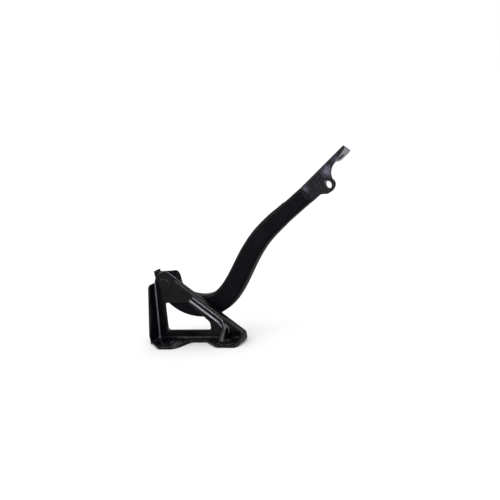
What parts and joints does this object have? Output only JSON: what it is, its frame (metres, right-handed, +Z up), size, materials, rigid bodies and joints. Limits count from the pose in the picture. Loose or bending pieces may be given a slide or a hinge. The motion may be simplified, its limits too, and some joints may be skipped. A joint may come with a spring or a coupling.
{
  "type": "hood hinge",
  "caption": "Pressed-steel gooseneck hood hinge: triangular bolted bracket, swinging channel arm on a riveted pivot, and a flanged end plate with an eye lug.",
  "frame": {"origin": "midway between the two base bolt holes, on the underside of the base flange", "axes": "+X along the base towards the arm's far end, +Y from the bracket's open side to the side where the arm swings, +Z up; the arm is stored with the hood open as pictured"},
  "size_m": [0.2878, 0.0804, 0.2172],
  "materials": {
    "black_paint_bracket": "gloss black electrocoat on pressed steel",
    "black_paint_arm": "gloss black electrocoat on pressed steel",
    "dark_grey_plate": "satin dark blue-grey phosphate and thin paint",
    "dark_grey_collar": "satin dark grey",
    "painted_weld": "rippled weld metal under black paint",
    "painted_rivet": "black painted rivet",
    "zinc_washer": "plain plated washer, dulled",
    "spring_steel": "blackened spring steel",
    "bronze_bush": "sintered bronze, oiled"
  },
  "bodies": {
    "bracket": {"hinge_bracket": "black_paint_bracket", "pivot_rivet": "painted_rivet", "rivet_washer": "zinc_washer"},
    "arm": {"gooseneck_arm": "black_paint_arm", "pivot_bush": "bronze_bush", "spring_washer": "spring_steel", "hood_plate": "dark_grey_plate", "lug_collar": "dark_grey_collar", "arm_weld": "painted_weld"}
  },
  "joints": [
    {"name": "hood_swing", "type": "hinge", "parent": "bracket", "child": "arm", "pos_m": [-0.0475, 0.0175, 0.073], "axis": [0, 1, 0], "range_deg": [-12, 35.5]}
  ]
}
